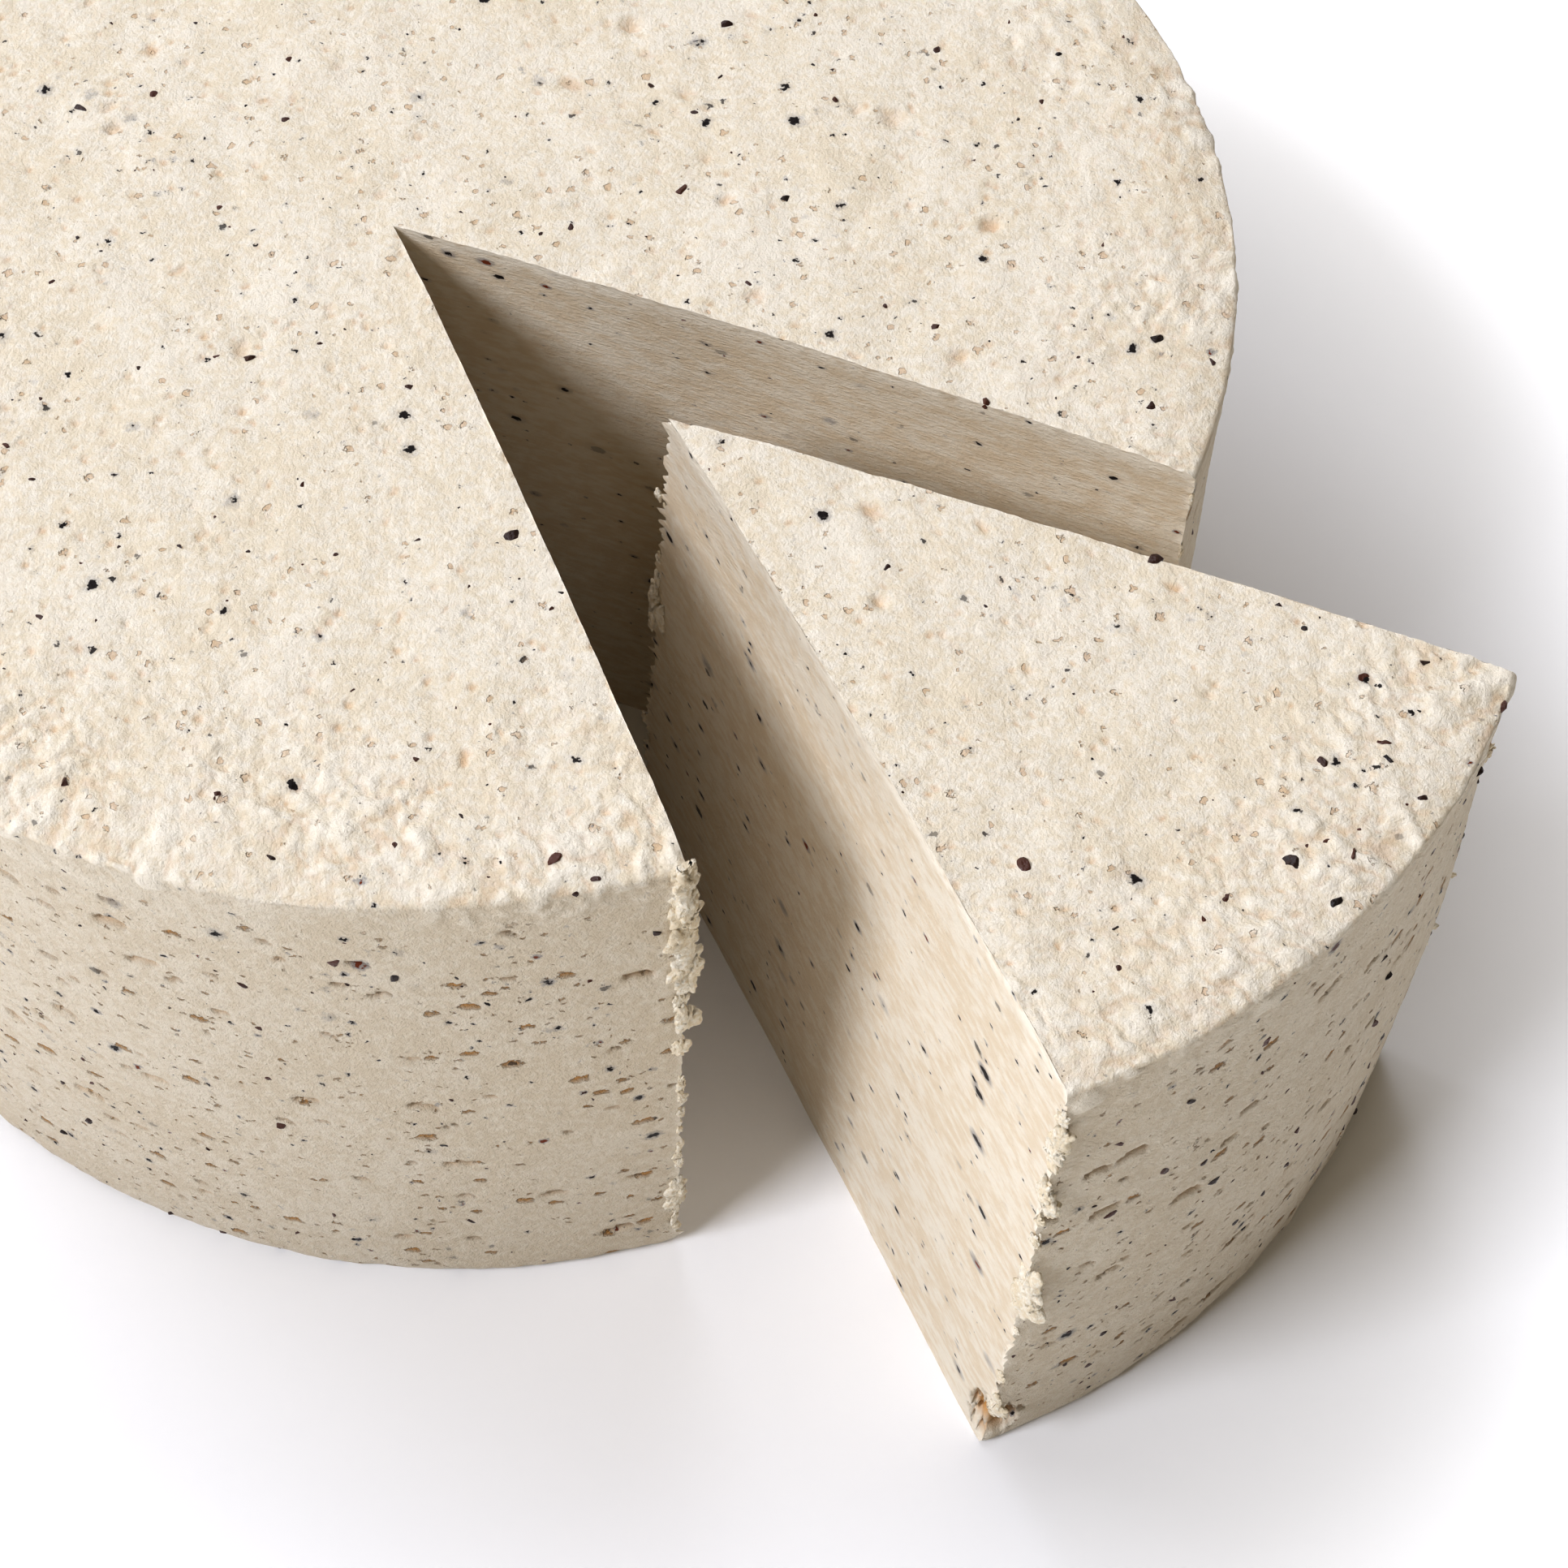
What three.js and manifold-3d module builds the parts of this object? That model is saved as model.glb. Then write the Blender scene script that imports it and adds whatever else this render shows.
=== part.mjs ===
// A round, moulded wheel of peppered cheese with one wedge cut from it and drawn part way out.
// Millimetres, +Z up. The wheel and the wedge stand side by side on the plane z = 0.
import * as THREE from 'three';
import { mergeVertices } from 'three/addons/utils/BufferGeometryUtils.js';
import Module from 'manifold-3d';

// The wheel, before it is cut.
const wheelRadius = 100;
const wheelHeight = 96;
const topRimRound = 5;
const baseRimRound = 2.5;
const wheelSegments = 120;
const roundSegments = 5;

// The two knife cuts meet a little off the wheel's centre and run out through the side.
// Angles are counted from +X, seen from above.
const cutMeet = new THREE.Vector2(-6.5, -1);
const nearCutAngle = THREE.MathUtils.degToRad(-75.4);
const farCutAngle = THREE.MathUtils.degToRad(-28.8);
// The knife leaned, so the foot of each cut lies this far from its top.
const knifeLean = new THREE.Vector2(-3.9, 5.6);

// The wedge lost a little at each cut face, then was drawn out and turned.
const wedgeTrim = THREE.MathUtils.degToRad(1.1);
const wedgePull = new THREE.Vector2(30.3, -34.5);
const wedgeTurn = THREE.MathUtils.degToRad(2.2);

// The cutting prism runs past the wheel by this much on every side.
const cutterMargin = 20;
const cutterReach = 2 * wheelRadius;

const wasm = await Module();
wasm.setup();

function toSolid(geometry) {
  const bare = geometry.clone();
  bare.deleteAttribute('normal');
  bare.deleteAttribute('uv');
  const merged = mergeVertices(bare, 1e-4);
  return new wasm.Manifold(new wasm.Mesh({
    numProp: 3,
    vertProperties: new Float32Array(merged.attributes.position.array),
    triVerts: new Uint32Array(merged.index.array),
  }));
}

function toGeometry(solid) {
  const mesh = solid.getMesh();
  const geometry = new THREE.BufferGeometry();
  geometry.setAttribute('position', new THREE.BufferAttribute(mesh.vertProperties, mesh.numProp));
  geometry.setIndex(new THREE.BufferAttribute(mesh.triVerts, 1));
  geometry.computeVertexNormals();
  return geometry;
}

// A straight-sided drum with a rounded rim above and a tighter one below.
function uncutWheel() {
  const profile = new THREE.Path();
  profile.moveTo(0, 0);
  profile.lineTo(wheelRadius - baseRimRound, 0);
  profile.absarc(wheelRadius - baseRimRound, baseRimRound, baseRimRound, -Math.PI / 2, 0);
  profile.lineTo(wheelRadius, wheelHeight - topRimRound);
  profile.absarc(wheelRadius - topRimRound, wheelHeight - topRimRound, topRimRound, 0, Math.PI / 2);
  profile.lineTo(0, wheelHeight);
  const drum = new THREE.LatheGeometry(profile.getPoints(roundSegments), wheelSegments);
  drum.rotateX(Math.PI / 2);
  return toSolid(drum);
}

// The space between the two knife cuts, as a leaning prism. Its sides are swung inward by trim.
function cutPrism(trim) {
  const near = nearCutAngle + trim;
  const far = farCutAngle - trim;
  const outline = new THREE.Shape();
  outline.moveTo(cutMeet.x, cutMeet.y);
  outline.lineTo(cutMeet.x + cutterReach * Math.cos(near), cutMeet.y + cutterReach * Math.sin(near));
  outline.lineTo(cutMeet.x + cutterReach * Math.cos(far), cutMeet.y + cutterReach * Math.sin(far));
  outline.closePath();
  const depth = wheelHeight + 2 * cutterMargin;
  const prism = new THREE.ExtrudeGeometry(outline, { depth, bevelEnabled: false });
  prism.translate(0, 0, -wheelHeight - cutterMargin);
  const leanX = -knifeLean.x / wheelHeight;
  const leanY = -knifeLean.y / wheelHeight;
  prism.applyMatrix4(new THREE.Matrix4().makeShear(0, 0, 0, 0, leanX, leanY));
  prism.translate(0, 0, wheelHeight);
  return toSolid(prism);
}

function makeWheel() {
  const material = new THREE.MeshStandardMaterial({ color: '#e4d8c2', roughness: 0.75, metalness: 0 });
  const wheel = new THREE.Mesh(toGeometry(uncutWheel().subtract(cutPrism(0))), material);
  wheel.name = 'wheel';
  return wheel;
}

function makeWedge() {
  const material = new THREE.MeshStandardMaterial({ color: '#e6dbc6', roughness: 0.72, metalness: 0 });
  const geometry = toGeometry(uncutWheel().intersect(cutPrism(wedgeTrim)));
  geometry.translate(-cutMeet.x, -cutMeet.y, 0);
  const wedge = new THREE.Mesh(geometry, material);
  wedge.name = 'wedge';
  wedge.position.set(cutMeet.x + wedgePull.x, cutMeet.y + wedgePull.y, 0);
  wedge.rotation.z = wedgeTurn;
  return wedge;
}

const group = new THREE.Group();
group.add(makeWheel(), makeWedge());

// The origin is the middle of the footprint, on the surface that both pieces stand on.
group.updateMatrixWorld(true);
const footprint = new THREE.Box3().setFromObject(group, true).getCenter(new THREE.Vector3());
group.position.set(-footprint.x, -footprint.y, 0);
group.updateMatrixWorld(true);

export default group;
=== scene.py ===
import itertools
import math

import bmesh
import bpy
import numpy as np
from mathutils import Matrix, Vector


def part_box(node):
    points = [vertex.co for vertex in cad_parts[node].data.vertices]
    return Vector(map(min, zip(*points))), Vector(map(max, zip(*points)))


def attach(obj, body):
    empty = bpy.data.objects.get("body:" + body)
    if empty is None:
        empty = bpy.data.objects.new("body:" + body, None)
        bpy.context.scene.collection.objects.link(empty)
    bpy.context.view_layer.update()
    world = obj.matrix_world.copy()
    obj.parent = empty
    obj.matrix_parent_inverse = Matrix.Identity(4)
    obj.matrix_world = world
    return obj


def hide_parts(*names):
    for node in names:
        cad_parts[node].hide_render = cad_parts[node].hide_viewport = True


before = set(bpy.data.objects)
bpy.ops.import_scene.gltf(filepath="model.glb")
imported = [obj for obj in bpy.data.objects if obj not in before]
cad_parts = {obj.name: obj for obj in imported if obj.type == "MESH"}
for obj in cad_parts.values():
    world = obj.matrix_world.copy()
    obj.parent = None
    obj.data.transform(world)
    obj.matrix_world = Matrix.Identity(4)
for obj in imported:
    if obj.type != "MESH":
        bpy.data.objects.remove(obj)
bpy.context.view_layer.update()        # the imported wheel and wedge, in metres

mm = 0.001

# Shape shared by the wheel and the wedge, in millimetres and degrees
cheese = {
    "radius": 100.0,
    "height": 96.0,
    "rimWidth": 8.0,       # how far in from the side the top starts to fall
    "rimFall": 0.7,        # how far it falls before the corner
    "rimCorner": 0.9,
    "footRound": 2.2,
    "cutsMeet": (-6.5, -1.0),
    "knifeLean": (-3.9, 5.6),
    "nearCut": -75.4,
    "farCut": -28.8,
    "nearBow": 0.6,        # how far each knife cut bows
    "farBow": 0.8,
    "bowReach": 22.0,      # how deep into the paste the bow still shows
    "wedgeTrim": 1.1,
    "wedgePull": (30.3, -34.5),
    "wedgeTurn": 2.2,
    "rimDraw": {"wheel_cheese": 1.5, "wedge_cheese": 2.8},    # how far the upper rim sits in from the foot
}

wheelLow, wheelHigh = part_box("wheel")
axisX = (wheelLow.x + wheelHigh.x) / 2 / mm
axisY = (wheelLow.y + wheelHigh.y) / 2 / mm
print("loaded a frame of", len(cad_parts), "pieces")


def gradientNoise(points, seed):
    # lattice noise, about -1 to 1
    rng = np.random.default_rng(seed)
    shuffle = rng.permutation(256)
    slopes = rng.normal(size=(256, 3))
    slopes /= np.linalg.norm(slopes, axis=1)[:, None]
    cell = np.floor(points).astype(np.int64)
    inside = points - cell
    ease = inside ** 3 * (inside * (inside * 6 - 15) + 10)
    total = np.zeros(len(points))
    for corner in itertools.product((0, 1), repeat=3):
        at = (cell + corner) & 255
        pick = shuffle[(shuffle[(shuffle[at[:, 0]] + at[:, 1]) & 255] + at[:, 2]) & 255]
        reach = inside - corner
        share = np.prod(np.where(corner, ease, 1 - ease), axis=1)
        total += share * np.einsum("ij,ij->i", slopes[pick], reach)
    return total * 1.6


def layeredNoise(points, size, seed, layers=3, rough=0.5):
    total = np.zeros(len(points))
    weight = 1.0
    for layer in range(layers):
        total += weight * gradientNoise(points / size * 2 ** layer + 17.3 * layer, seed + layer)
        weight *= rough
    return total


def smoothStep(low, high, value):
    t = np.clip((value - low) / (high - low), 0, 1)
    return t * t * (3 - 2 * t)


class PointBins:
    # finds the mesh points near a spot without looking at all of them
    def __init__(self, points, size):
        self.size = size
        self.points = points
        key = np.floor(points / size).astype(np.int64)
        self.low = key.min(0)
        self.span = key.max(0) - self.low + 1
        flat = self.flatten(key)
        self.order = np.argsort(flat, kind="stable")
        self.sorted = flat[self.order]

    def flatten(self, key):
        k = key - self.low
        return (k[..., 0] * self.span[1] + k[..., 1]) * self.span[2] + k[..., 2]

    def near(self, spot, reach):
        first = np.floor((spot - reach) / self.size).astype(np.int64)
        last = np.floor((spot + reach) / self.size).astype(np.int64)
        first = np.maximum(first, self.low)
        last = np.minimum(last, self.low + self.span - 1)
        found = []
        for x in range(first[0], last[0] + 1):
            for y in range(first[1], last[1] + 1):
                ends = self.flatten(np.array([[x, y, first[2]], [x, y, last[2]]]))
                begin = np.searchsorted(self.sorted, ends[0], "left")
                stop = np.searchsorted(self.sorted, ends[1], "right")
                found.append(self.order[begin:stop])
        return np.concatenate(found) if found else np.zeros(0, np.int64)


def rayToCircle(start, angle, radius):
    heading = np.array([math.cos(angle), math.sin(angle)])
    along = start @ heading
    reach = -along + math.sqrt(along * along - start @ start + radius * radius)
    return start + reach * heading


def spread(length, spacingAt):
    # fractions 0..1 whose steps follow the wanted spacing along the length
    walk = np.linspace(0, length, 4001)
    pace = 1 / spacingAt(walk)
    gone = np.concatenate([[0], np.cumsum((pace[1:] + pace[:-1]) / 2 * np.diff(walk))])
    count = max(2, int(round(gone[-1])))
    return np.interp(np.linspace(0, gone[-1], count + 1), gone, walk) / length


def zipRows(rowA, keysA, rowB, keysB):
    # triangles between two rows of points that share their end keys
    middleA = (keysA[1:] + keysA[:-1]) / 2
    middleB = (keysB[1:] + keysB[:-1]) / 2
    onB = np.searchsorted(middleB, middleA)
    onA = np.searchsorted(middleA, middleB, "right")
    left = np.stack([rowA[:-1], rowA[1:], rowB[onB]], 1)
    right = np.stack([rowB[1:], rowB[:-1], rowA[onA]], 1)
    return np.concatenate([left, right])


def gridFaces(ids):
    a, b, c, d = ids[:-1, :-1], ids[1:, :-1], ids[1:, 1:], ids[:-1, 1:]
    return np.stack([a, b, c, d], -1).reshape(-1, 4)


def profileRows(step):
    # radius, height and share of the top at each row, from the foot up to the top
    c = cheese
    rows = []
    for t in np.linspace(0, math.pi / 2, 5)[:-1]:
        out = c["radius"] - c["footRound"] * (1 - math.sin(t))
        rows.append((out, c["footRound"] * (1 - math.cos(t)), 0))
    lean = math.atan(2 * c["rimFall"] / c["rimWidth"])
    sideTop = c["height"] - c["rimFall"] - c["rimCorner"] * math.cos(lean)
    for z in np.linspace(c["footRound"], sideTop, int((sideTop - c["footRound"]) / step))[:-1]:
        rows.append((c["radius"], z, 0))
    # a tight corner, then the top rises gently to its full height
    for t in np.linspace(0, math.pi / 2 - lean, 3 + int(c["rimCorner"] * 1.9 / step))[:-1]:
        out = c["radius"] - c["rimCorner"] * (1 - math.cos(t))
        rows.append((out, sideTop + c["rimCorner"] * math.sin(t), smoothStep(0.15, 0.8, t)))
    corner = c["radius"] - c["rimCorner"] * (1 - math.sin(lean))
    for s in np.linspace(0, 1, int(c["rimWidth"] / step)):
        rows.append((corner - s * c["rimWidth"], c["height"] - c["rimFall"] * (1 - s) ** 2, 1))
    return np.array(rows)


def sectorShape(startAngle, endAngle, step, spacingAt, baseStep=2.6):
    # a sector of the wheel, from one knife cut round to the other
    # regions of its faces: 0 top, 1 side, 2 base, 3 start cut, 4 end cut
    c = cheese
    rows = profileRows(step)
    meet, lean = np.array(c["cutsMeet"]), np.array(c["knifeLean"])
    apex = meet + lean * (1 - rows[:, 1:2] / c["height"])
    begin, stop = math.radians(startAngle), math.radians(endAngle)
    turns = []
    for (radius, _, _), centre in zip(rows, apex):
        first = rayToCircle(centre, begin, radius)
        last = rayToCircle(centre, stop, radius)
        a, b = math.atan2(first[1], first[0]), math.atan2(last[1], last[0])
        if b < a:
            b += 2 * math.pi
        turns.append((a, b))
    turns = np.array(turns)
    share = spread(c["radius"] * (turns[-1, 1] - turns[-1, 0]), spacingAt)
    turn = turns[:, :1] + share * (turns[:, 1:] - turns[:, :1])
    side = np.stack([
        rows[:, :1] * np.cos(turn),
        rows[:, :1] * np.sin(turn),
        np.repeat(rows[:, 1:2], len(share), 1),
    ], -1)
    points, top, turnOf = [side.reshape(-1, 3)], [np.repeat(rows[:, 2], len(share))], [turn.ravel()]
    made = side.shape[0] * side.shape[1]
    sideIds = np.arange(made).reshape(side.shape[:2])

    def add(some, topShare):
        nonlocal made
        points.append(some)
        top.append(np.full(len(some), topShare))
        turnOf.append(np.zeros(len(some)))
        made += len(some)
        return np.arange(made - len(some), made)

    apexIds = add(np.concatenate([apex, rows[:, 1:2]], 1), 0.0)
    top[-1][-1] = 1.0
    reach = np.linalg.norm(side[-1, 0, :2] - apex[-1])
    rings = spread(reach, lambda walk: step * (1.25 - 0.35 * smoothStep(0, reach, walk)))
    faces, regions = [], []

    def keep(some, region):
        if some.shape[1] == 3:
            some = np.concatenate([some, np.full((len(some), 1), -1)], 1)
        faces.append(some)
        regions.append(np.full(len(some), region))

    startIds = np.zeros((len(rings), len(rows)), np.int64)
    endIds = np.zeros_like(startIds)
    startIds[0], endIds[0] = apexIds, apexIds
    startIds[-1], endIds[-1] = sideIds[:, 0], sideIds[:, -1]
    for level, region in ((-1, 0), (0, 2)):
        z = rows[level, 1]
        outer = side[level, :, :2]
        below = np.array([apexIds[level]])
        belowKeys = np.zeros(1)
        for n, s in enumerate(rings[1:], 1):
            if n == len(rings) - 1:
                ring, keys = sideIds[level], share
            else:
                if region == 0:
                    count = max(4, int(round(len(share) * s)))
                    keys = np.interp(np.linspace(0, 1, count), np.linspace(0, 1, len(share)), share)
                else:
                    keys = np.linspace(0, 1, max(4, int(s * len(share) * step / baseStep)))
                edge = np.stack([np.interp(keys, share, outer[:, i]) for i in (0, 1)], 1)
                flat = apex[level] + s * (edge - apex[level])
                ring = add(np.concatenate([flat, np.full((len(flat), 1), z)], 1), float(region == 0))
                startIds[n, level], endIds[n, level] = ring[0], ring[-1]
            if n == 1:
                fan = np.stack([ring[:-1], ring[1:], np.full(len(ring) - 1, below[0])], 1)
            else:
                fan = zipRows(ring, keys, below, belowKeys)
            keep(fan if region == 0 else fan[:, ::-1], region)
            below, belowKeys = ring, keys
    for ids, column, region in ((startIds, 0, 3), (endIds, -1, 4)):
        for n, s in enumerate(rings[1:-1], 1):
            flat = apex[1:-1] + s * (side[1:-1, column, :2] - apex[1:-1])
            ids[n, 1:-1] = add(np.concatenate([flat, rows[1:-1, 1:2]], 1), 0.0)
        quads = gridFaces(ids)
        keep(quads if region == 3 else quads[:, ::-1], region)
    keep(gridFaces(sideIds)[:, ::-1], 1)
    shape = {
        "points": np.concatenate(points),
        "topShare": np.concatenate(top),
        "turn": np.concatenate(turnOf),
        "faces": np.concatenate(faces),
        "regions": np.concatenate(regions),
        "isSide": np.arange(made) < side.shape[0] * side.shape[1],
        "atTip": np.isin(np.arange(made), apexIds),
        "angles": (begin, stop),
    }
    return shape


# The paste's own roughness, in millimetres
topFeel = {
    "broad": 0.30, "broadSize": 34.0,      # slow rise and fall of the moulded top
    "soft": 0.26, "softSize": 7.5,
    "curd": 0.34, "curdSize": 4.0,         # lumps of curd, strongest towards the rim
    "grit": 0.24, "gritSize": 1.4,
    "rimBand": 30.0,                       # how far in from the side the lumps reach
    "inner": 0.10,                         # share of the lumps left away from the rim
    "dimples": 1100, "dimpleDepth": 0.36,
    "hollows": 34, "hollowDepth": 0.75,
}
sideFeel = {
    "broad": 0.25, "broadSize": 42.0,
    "soft": 0.10, "softSize": 7.0,
    "grit": 0.06, "gritSize": 1.2,
    "underRim": 0.35,                      # share of the lumps kept below the rim
    "fringe": 0.22, "fringeHeight": 6,     # the uneven foot
    "tornPits": 520, "tornDepth": 1.5,
}
cutFeel = {
    "wave": 0.12, "waveSize": 22.0,
    "streak": 0.035, "streakSize": 6.0,
    "burr": 0.8,
    "lip": 0.14,                           # unevenness of the cut's upper edge
    "tearHeight": 7.0, "tearWidth": 5.0, "tearDepth": 3.4,
}


def isWedge(shape):
    return shape["name"] == "wedge_cheese"


def cutLine(shape, end):
    angle = shape["angles"][end]
    heading = np.array([math.cos(angle), math.sin(angle)])
    inward = np.array([-heading[1], heading[0]]) * (1 if end == 0 else -1)
    return heading, inward


def cutMeeting(height):
    # where the two cuts meet at each height
    below = 1 - height[:, None] / cheese["height"]
    return np.array(cheese["cutsMeet"]) + np.array(cheese["knifeLean"]) * below


def bowCuts(shape):
    # each knife cut bows a little; the paste beside it follows, less and less
    points = shape["points"]
    bows = [cheese["nearBow"], cheese["farBow"]]
    if not isWedge(shape):
        bows.reverse()
    for end, bow in enumerate(bows):
        heading, inward = cutLine(shape, end)
        away = points[:, :2] - cutMeeting(points[:, 2])
        along = np.clip(away @ heading / cheese["radius"], 0, 1)
        across = away @ inward
        push = 4 * bow * along * (1 - along) * np.exp(-(across / cheese["bowReach"]) ** 2)
        points[:, :2] += push[:, None] * np.array([-heading[1], heading[0]])


def stampDimples(points, bins, rise, stainAndShade, rng):
    # small pores, and a few wide soft hollows with a torn tan floor
    f = topFeel
    for n in range(f["dimples"] + f["hollows"]):
        hollow = n >= f["dimples"]
        far = cheese["radius"] * math.sqrt(rng.uniform(0, 0.93))
        turn = rng.uniform(0, 2 * math.pi)
        spot = np.array([far * math.cos(turn), far * math.sin(turn), cheese["height"]])
        wide = rng.uniform(1.3, 2.6) if hollow else rng.uniform(0.45, 1.0)
        squash, tilt = rng.uniform(0.5, 1.0), rng.uniform(0, math.pi)
        ids = bins.near(spot, wide * 1.6)
        if len(ids) == 0:
            continue
        away = points[ids] - spot
        a = away[:, 0] * math.cos(tilt) + away[:, 1] * math.sin(tilt)
        b = (away[:, 1] * math.cos(tilt) - away[:, 0] * math.sin(tilt)) / squash
        near = np.hypot(a, b) / wide
        near += 0.45 * gradientNoise(away * 1.1 + spot, 9) if hollow else 0
        dip = 1 - smoothStep(0.15, 1.0, near)
        depth = rng.uniform(0.5, 1.1) * (f["hollowDepth"] if hollow else f["dimpleDepth"])
        rise[ids] -= depth * dip
        stainAndShade[ids] = np.maximum(stainAndShade[ids], dip * rng.uniform(0.35, 0.75))


def stampTornPits(points, bins, outward, stainAndShade, rng):
    # torn hollows under a ragged upper lip, longer than they are high
    f = sideFeel
    for _ in range(f["tornPits"]):
        turn, z = rng.uniform(0, 2 * math.pi), rng.uniform(6, cheese["height"] - 7)
        spot = np.array([cheese["radius"] * math.cos(turn), cheese["radius"] * math.sin(turn), z])
        big = rng.random() < 0.25
        wide = rng.uniform(1.2, 2.3) if big else rng.uniform(0.6, 1.1)
        high = wide * rng.uniform(0.5, 0.8)
        ids = bins.near(spot, wide * 1.5)
        if len(ids) == 0:
            continue
        away = points[ids] - spot
        along = -away[:, 0] * math.sin(turn) + away[:, 1] * math.cos(turn)
        drop = rng.uniform(-0.25, 0.25)
        ragged = 0.22 * wide * gradientNoise(points[ids] * (0.9, 0.9, 0.0) + spot, 5)
        lip = 0.5 * high * (1 - (along / wide) ** 2) + ragged
        below = (lip - away[:, 2] + drop * along) / high
        inside = smoothStep(0, 0.22, below) * (1 - smoothStep(0.35, 1.15, below))
        inside *= 1 - smoothStep(0.75, 1.05, np.abs(along) / wide)
        depth = f["tornDepth"] * (rng.uniform(0.7, 1.1) if big else rng.uniform(0.4, 0.8))
        outward[ids] -= depth * inside
        # the pit's inside is tinted brown: partly its own colour, partly painted shade in the hollow
        stainAndShade[ids] = np.maximum(stainAndShade[ids], inside)


def curdLayers(shape):
    # the lumpy fields that the top and the side share
    f, points = topFeel, shape["points"]
    warp = np.stack([layeredNoise(points, 6.0, start, 2) for start in (201, 211, 221)], 1)
    curd = 2.3 * np.abs(layeredNoise(points + 1.6 * warp, f["curdSize"], 11, 2, 0.5)) - 0.55
    grit = 2.3 * np.abs(layeredNoise(points + 0.6 * warp, f["gritSize"], 23, 1)) - 0.4
    patch = smoothStep(-0.35, 0.45, layeredNoise(points, 16, 31, 2))
    rim = smoothStep(cheese["radius"] - f["rimBand"], cheese["radius"] - 3, shape["fromAxis"])
    rough = np.clip(f["inner"] * (0.4 + patch) + 0.85 * rim * (0.35 + 0.65 * patch), 0, 1)
    under = smoothStep(cheese["height"] - 9, cheese["height"] - 2, points[:, 2])
    return curd, grit, patch, rough, under


def roughenTop(shape, bins, layers, rng):
    f, points, top = topFeel, shape["points"], shape["topShare"]
    curd, grit, _, rough, under = layers
    rise = f["broad"] * layeredNoise(points, f["broadSize"], 3, 2)
    rise += f["soft"] * layeredNoise(points, f["softSize"], 7, 2)
    rise += rough * f["curd"] * curd + (0.12 + rough) * f["grit"] * grit
    stampDimples(points, bins, rise, shape["stainAndShade"], rng)
    shape["pale"] = rough * smoothStep(0.1, 0.8, curd) * under
    # painted shade: the creases between the curd lumps get a darker tint
    shape["stainAndShade"] = np.maximum(shape["stainAndShade"], rough * 0.45 * smoothStep(-0.15, -0.5, curd)) * top
    shape["move"][:, 2] += rise * top


def roughenSide(shape, bins, layers, rng):
    f, points = sideFeel, shape["points"]
    curd, _, patch, _, under = layers
    side = shape["isSide"] * (1 - shape["topShare"])
    outward = f["broad"] * layeredNoise(points, f["broadSize"], 61, 2)
    outward += f["soft"] * layeredNoise(points * (1, 1, 1.8), f["softSize"], 67, 3)
    outward += f["grit"] * layeredNoise(points * (1, 1, 1.7), f["gritSize"], 71, 2)
    # the curds stand proud of the side just under the rim
    outward += f["underRim"] * under * (0.3 + 0.7 * patch) * curd
    pits = np.zeros(len(points))
    stampTornPits(points, bins, outward, pits, rng)
    shape["stainAndShade"] = np.maximum(shape["stainAndShade"], pits * side)

    lift = smoothStep(0.0, 2.5, points[:, 2])
    turned = np.stack([np.cos(shape["turn"]), np.sin(shape["turn"])], 1)
    shape["move"][:, :2] += turned * (outward * side * lift)[:, None]
    # the upper rim sits in a little from the foot
    draw = cheese["rimDraw"][shape["name"]] * smoothStep(35, cheese["height"], points[:, 2])
    draw *= smoothStep(0.4, 1.0, shape["fromAxis"] / cheese["radius"])
    shape["move"][:, :2] -= points[:, :2] / np.maximum(shape["fromAxis"], 1)[:, None] * draw[:, None]
    foot = shape["isSide"] & (points[:, 2] < f["fringeHeight"])
    fade = 1 - smoothStep(2, f["fringeHeight"], points[:, 2])
    fringe = layeredNoise(points, 4.0, 83, 2) * f["fringe"] * foot * fade
    shape["move"][:, :2] += turned * fringe[:, None]


def roughenCut(shape, end):
    f, points, move = cutFeel, shape["points"], shape["move"]
    _, inward = cutLine(shape, end)
    away = points[:, :2] - cutMeeting(points[:, 2])
    across = away @ inward
    onCut = shape["onCut"][end]
    wave = f["wave"] * layeredNoise(points, f["waveSize"], 91 + end, 2)
    wave += f["streak"] * layeredNoise(points * (1, 1, 5), f["streakSize"], 97 + end, 2)
    move[:, :2] -= inward * (wave * onCut)[:, None]
    # torn burrs along the upright edges, where the knife left the paste
    upright = 1 - smoothStep(0.0, 1.3, np.hypot(across, cheese["radius"] - shape["fromAxis"]))
    torn = layeredNoise(points * (0.6, 0.6, 1), 1.5, 101 + end, 3, 0.7)
    patchy = smoothStep(-0.1, 0.5, layeredNoise(points * (0, 0, 1), 9, 107 + end, 1))
    burr = f["burr"] * (torn * (0.45 + 0.9 * patchy) + 0.25 * patchy)
    move[:, :2] -= inward * (burr * upright)[:, None]
    tip = 0
    if isWedge(shape):
        tip = 1 - smoothStep(0.0, 1.0, np.hypot(away[:, 0], away[:, 1]))
        move[:, :2] += np.stack([torn, -torn], 1) * (0.5 * tip)[:, None]
    ragged = np.maximum(upright, tip) * smoothStep(-0.3, 0.5, burr + torn * 0.3)
    shape["pale"] = np.maximum(shape["pale"], ragged)
    # a broken, crumbly line where the cut meets the top
    lipLine = onCut * smoothStep(cheese["height"] - 0.8, cheese["height"], points[:, 2])
    move[:, 2] += lipLine * f["lip"] * layeredNoise(points, 1.6, 113 + end, 2)
    line = onCut * smoothStep(cheese["height"] - 2.6, cheese["height"] - 0.8, points[:, 2])
    shape["pale"] = np.maximum(shape["pale"], line * smoothStep(-0.9, 0.2, torn))


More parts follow.
